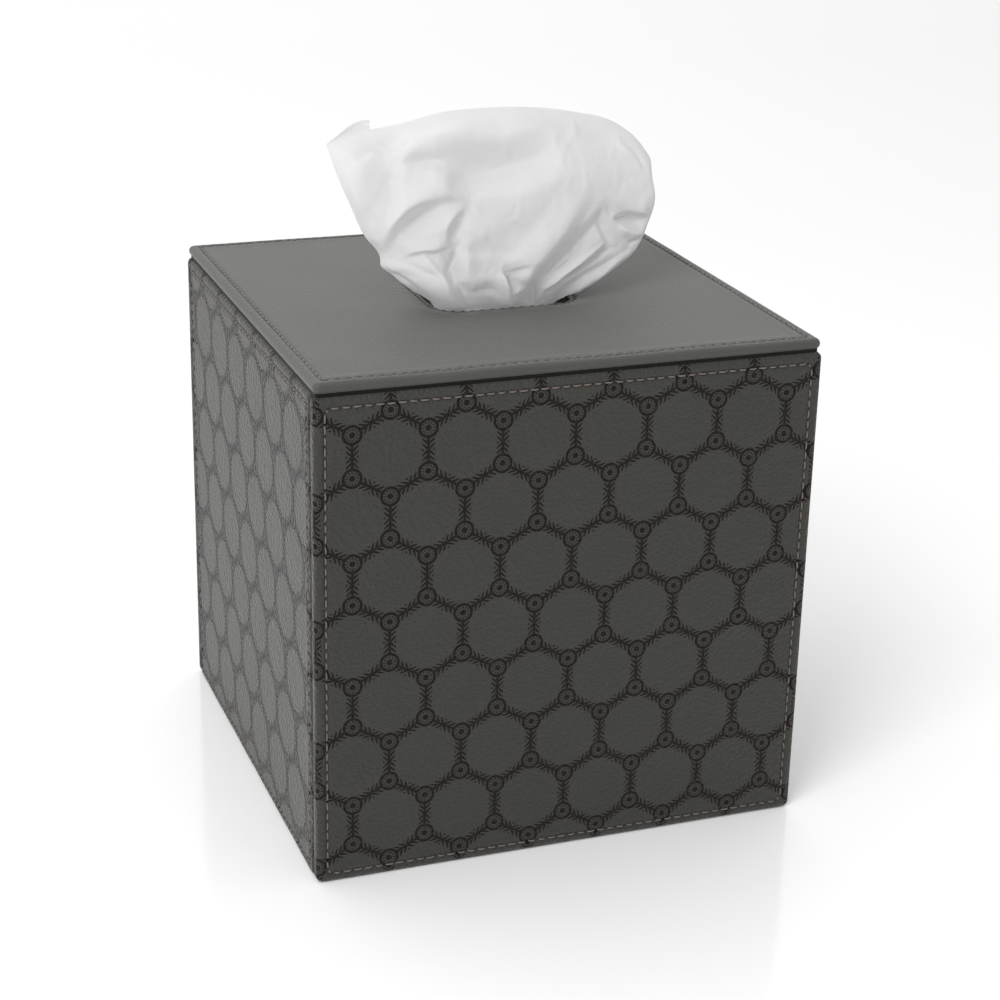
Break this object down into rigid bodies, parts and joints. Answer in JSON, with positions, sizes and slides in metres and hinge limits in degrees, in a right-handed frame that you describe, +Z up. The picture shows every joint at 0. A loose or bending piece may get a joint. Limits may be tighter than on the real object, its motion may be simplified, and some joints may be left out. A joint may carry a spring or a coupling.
{
  "type": "tissue box cover",
  "caption": "Cube tissue box cover of leather-wrapped boards with stitched edges and a loose lid, around a carton of tissues that are drawn through the lid's soft opening.",
  "frame": {"origin": "middle of the underside that the box stands on", "axes": "+Z up, +X to the right along the front wall, -Y out of the front wall"},
  "size_m": [0.1402, 0.1402, 0.1907],
  "materials": {
    "wall_leather": "satin",
    "lid_leather": "satin",
    "board": "matte",
    "lining": "matte",
    "frame_cover": "matte",
    "felt": "matte",
    "thread": "satin",
    "lid_thread": "satin",
    "carton": "matte",
    "tissue": "matte"
  },
  "bodies": {
    "box": {"front_panel_board": "board", "front_panel_leather": "wall_leather", "front_panel_lining": "lining", "front_panel_thread": "thread", "back_panel_board": "board", "back_panel_leather": "wall_leather", "back_panel_lining": "lining", "back_panel_thread": "thread", "left_panel_board": "board", "left_panel_leather": "wall_leather", "left_panel_lining": "lining", "left_panel_thread": "thread", "right_panel_board": "board", "right_panel_leather": "wall_leather", "right_panel_lining": "lining", "right_panel_thread": "thread", "base_board": "board", "base_felt": "felt", "floor_lining": "lining"},
    "refill": {"refill_carton": "carton", "tissue_stack": "tissue"},
    "lid": {"lid_board": "board", "lid_leather": "lid_leather", "lid_lining": "lining", "lid_locating_frame": "frame_cover", "lid_edge_thread": "lid_thread", "lid_opening_thread": "lid_thread"},
    "tissue": {"tissue_sheet": "tissue"}
  },
  "joints": [
    {"name": "refill_lift", "type": "slide", "parent": "box", "child": "refill", "axis": [0, 0, 1], "range_m": [0, 0.15]},
    {"name": "lid_lift", "type": "slide", "parent": "refill", "child": "lid", "axis": [0, 0, 1], "range_m": [0, 0.06]},
    {"name": "tissue_pull", "type": "slide", "parent": "lid", "child": "tissue", "axis": [0, 0, 1], "range_m": [0, 0.09]}
  ]
}
